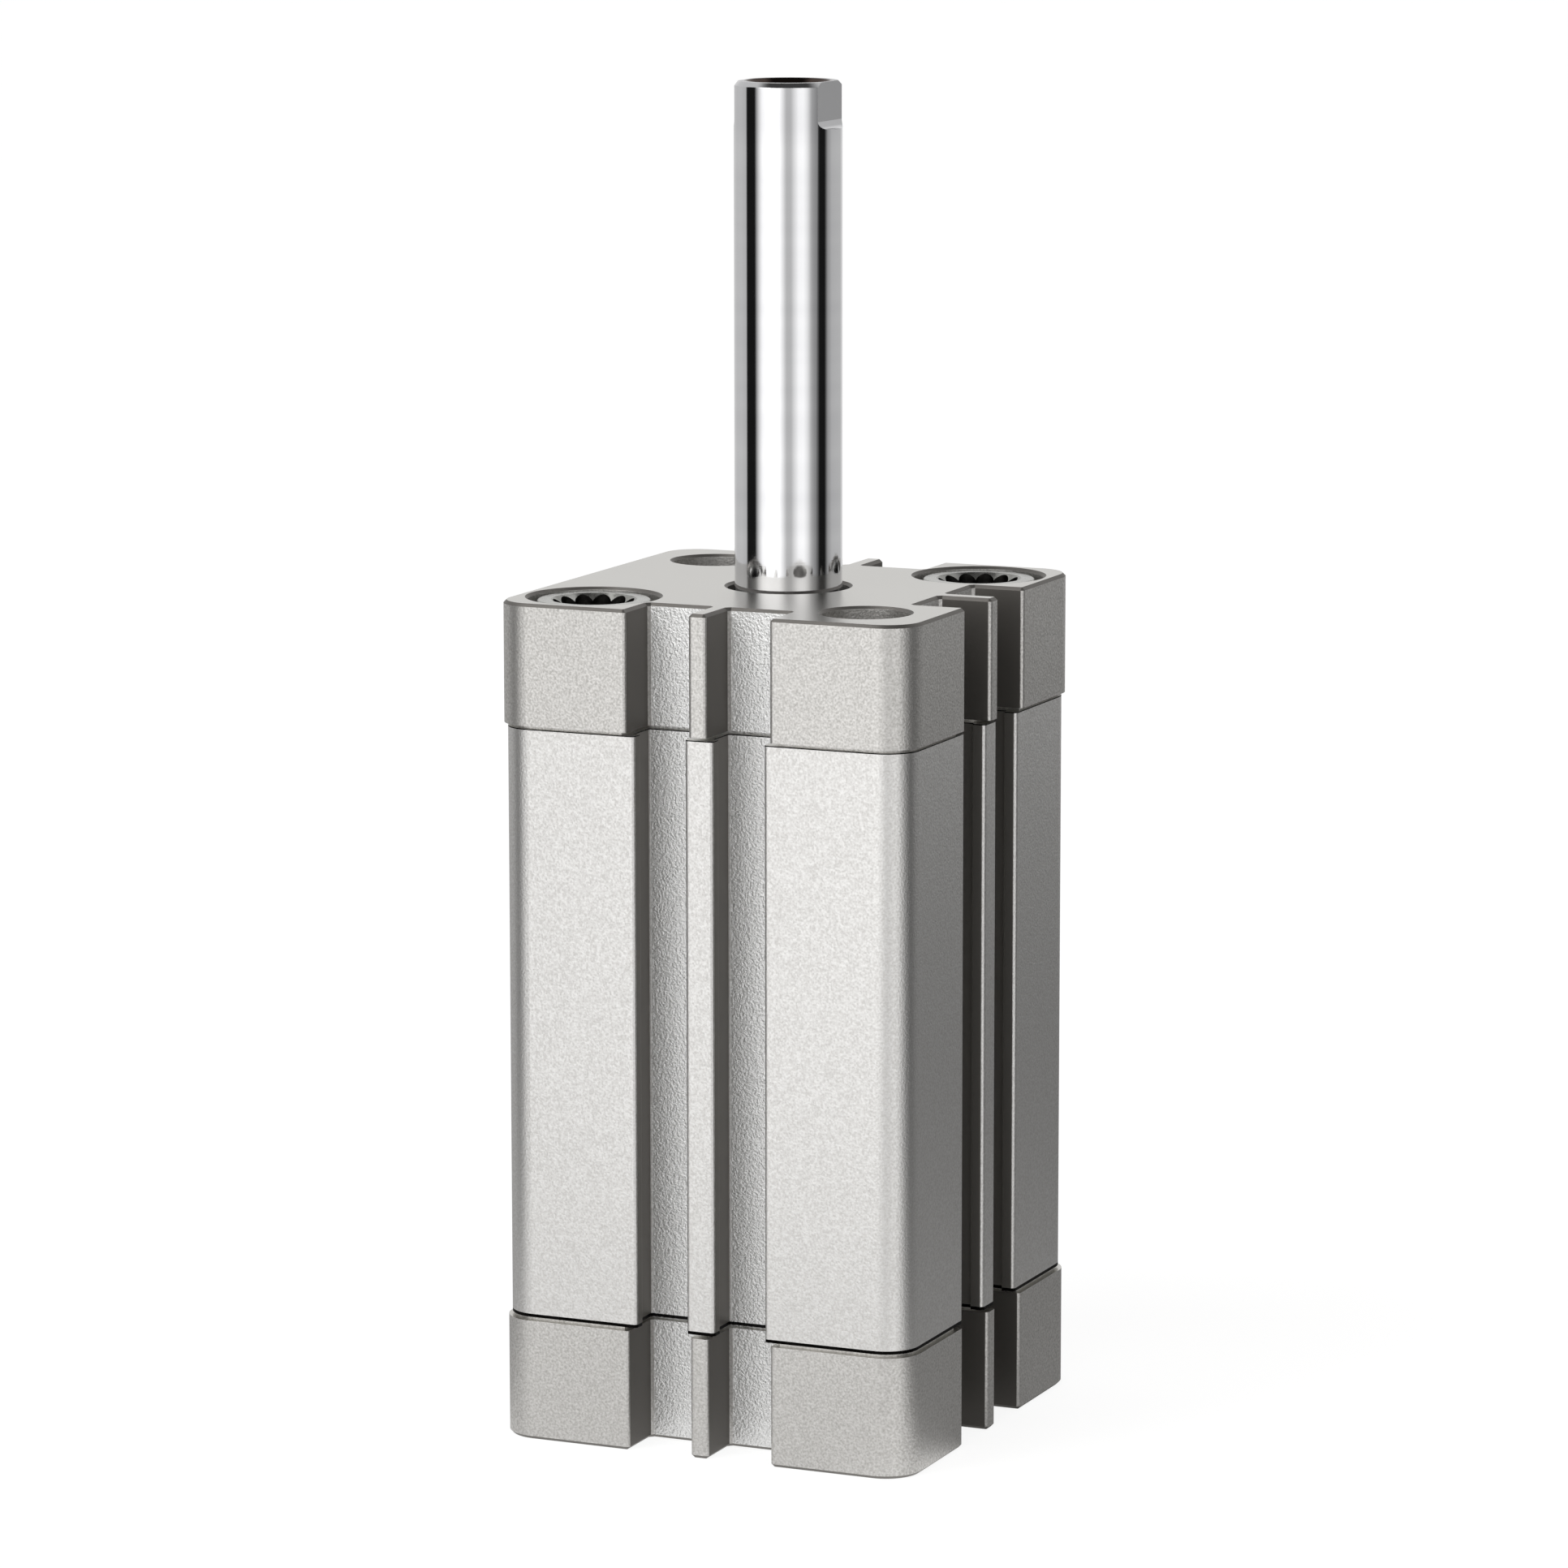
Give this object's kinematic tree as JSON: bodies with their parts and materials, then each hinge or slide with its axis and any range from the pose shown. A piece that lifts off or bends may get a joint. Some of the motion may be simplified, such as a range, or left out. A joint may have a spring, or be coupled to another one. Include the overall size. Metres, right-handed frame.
{
  "type": "compact pneumatic cylinder",
  "caption": "Compact pneumatic cylinder: square slotted aluminium barrel between caps with corner mounting holes, and a tapped piston rod that slides and turns.",
  "frame": {"origin": "centre of the end cap's outer face, on the cylinder's axis, at the base", "axes": "+Z along the rod, out of the bearing cap; the ports face -X"},
  "size_m": [0.0496, 0.0496, 0.15],
  "materials": {
    "anodised_barrel": "satin, blasted and anodised",
    "blasted_cap": "satin, blasted and anodised",
    "hard_chromed_steel": "ground, hard chromed and polished",
    "zinc_plated_steel": "zinc plated",
    "piston_alloy": "turned",
    "bush_metal": "sintered",
    "magnet": "plastic-bonded magnet",
    "guide_plastic": "moulded",
    "seal_rubber": "moulded"
  },
  "bodies": {
    "housing": {"barrel_profile": "anodised_barrel", "bearing_cap": "blasted_cap", "end_cap": "blasted_cap", "rod_bearing_bush": "bush_metal", "rod_wiper_seal": "seal_rubber", "rod_lip_seal": "seal_rubber", "bearing_cap_o_ring": "seal_rubber", "end_cap_o_ring": "seal_rubber", "bearing_cap_collar_screws": "zinc_plated_steel", "end_cap_collar_screws": "zinc_plated_steel"},
    "piston_seals": {"piston_guide_ring": "guide_plastic", "piston_front_seal": "seal_rubber", "piston_rear_seal": "seal_rubber"},
    "rod": {"piston_rod": "hard_chromed_steel", "piston_front_half": "piston_alloy", "piston_rear_half": "piston_alloy", "piston_magnet": "magnet", "front_cushion_ring": "seal_rubber", "rear_cushion_ring": "seal_rubber", "rod_o_ring": "seal_rubber", "piston_washer": "zinc_plated_steel", "piston_nut": "zinc_plated_steel"}
  },
  "joints": [
    {"name": "rod_stroke", "type": "slide", "parent": "housing", "child": "piston_seals", "axis": [0, 0, 1], "range_m": [-0.05, 0]},
    {"name": "rod_turn", "type": "hinge", "parent": "piston_seals", "child": "rod", "pos_m": [0, 0, 0.094], "axis": [0, 0, 1], "continuous": true}
  ]
}
